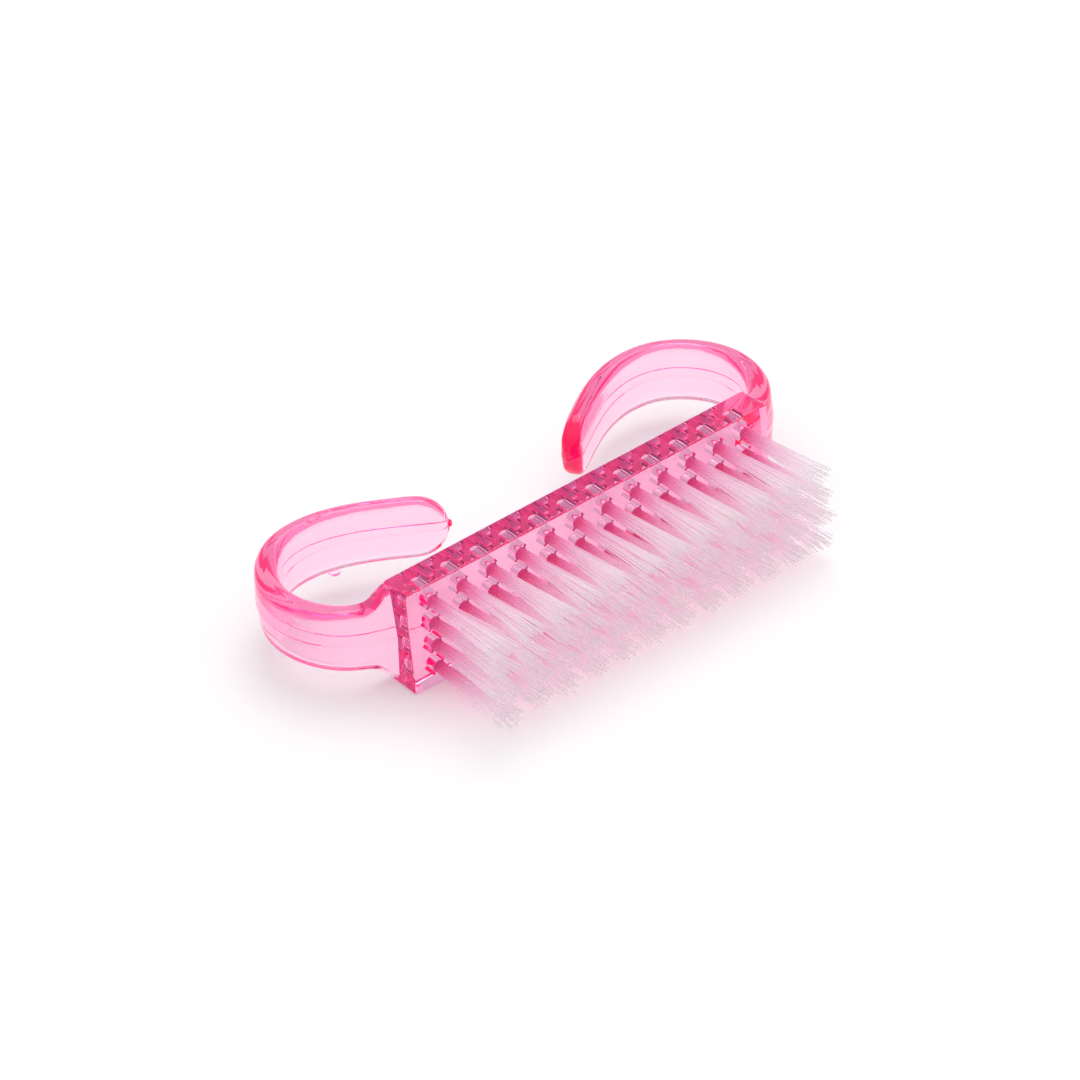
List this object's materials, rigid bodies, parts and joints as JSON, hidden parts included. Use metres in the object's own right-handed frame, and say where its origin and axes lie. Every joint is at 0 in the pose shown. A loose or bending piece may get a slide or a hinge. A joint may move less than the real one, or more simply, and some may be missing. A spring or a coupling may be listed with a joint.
{
  "type": "nail brush",
  "caption": "Clear pink nail brush with hooked finger handles at both ends and rows of trimmed nylon tufts, for scrubbing nails and hands.",
  "frame": {"origin": "centre of the footprint, on the surface the brush lies on", "axes": "+X along the block, +Z across its width, tufts towards -Y, handles towards +Y"},
  "size_m": [0.0774, 0.0414, 0.015],
  "materials": {
    "clear_pink_acrylic": "polished clear moulding",
    "nylon_bristle": "fine translucent filament",
    "anchor_steel": "flat drawn wire"
  },
  "bodies": {
    "root": {"brush_body": "clear_pink_acrylic", "tuft_r1_c01": "nylon_bristle", "tuft_r1_c02": "nylon_bristle", "tuft_r1_c03": "nylon_bristle", "tuft_r1_c04": "nylon_bristle", "tuft_r1_c05": "nylon_bristle", "tuft_r1_c06": "nylon_bristle", "tuft_r1_c07": "nylon_bristle", "tuft_r1_c08": "nylon_bristle", "tuft_r1_c09": "nylon_bristle", "tuft_r1_c10": "nylon_bristle", "tuft_r1_c11": "nylon_bristle", "tuft_r1_c12": "nylon_bristle", "tuft_r2_c01": "nylon_bristle", "tuft_r2_c02": "nylon_bristle", "tuft_r2_c03": "nylon_bristle", "tuft_r2_c04": "nylon_bristle", "tuft_r2_c05": "nylon_bristle", "tuft_r2_c06": "nylon_bristle", "tuft_r2_c07": "nylon_bristle", "tuft_r2_c08": "nylon_bristle", "tuft_r2_c09": "nylon_bristle", "tuft_r2_c10": "nylon_bristle", "tuft_r2_c11": "nylon_bristle", "tuft_r2_c12": "nylon_bristle", "tuft_r3_c01": "nylon_bristle", "tuft_r3_c02": "nylon_bristle", "tuft_r3_c03": "nylon_bristle", "tuft_r3_c04": "nylon_bristle", "tuft_r3_c05": "nylon_bristle", "tuft_r3_c06": "nylon_bristle", "tuft_r3_c07": "nylon_bristle", "tuft_r3_c08": "nylon_bristle", "tuft_r3_c09": "nylon_bristle", "tuft_r3_c10": "nylon_bristle", "tuft_r3_c11": "nylon_bristle", "tuft_r3_c12": "nylon_bristle", "tuft_r4_c01": "nylon_bristle", "tuft_r4_c02": "nylon_bristle", "tuft_r4_c03": "nylon_bristle", "tuft_r4_c04": "nylon_bristle", "tuft_r4_c05": "nylon_bristle", "tuft_r4_c06": "nylon_bristle", "tuft_r4_c07": "nylon_bristle", "tuft_r4_c08": "nylon_bristle", "tuft_r4_c09": "nylon_bristle", "tuft_r4_c10": "nylon_bristle", "tuft_r4_c11": "nylon_bristle", "tuft_r4_c12": "nylon_bristle", "anchor_row_1": "anchor_steel", "anchor_row_2": "anchor_steel", "anchor_row_3": "anchor_steel", "anchor_row_4": "anchor_steel"}
  },
  "joints": []
}
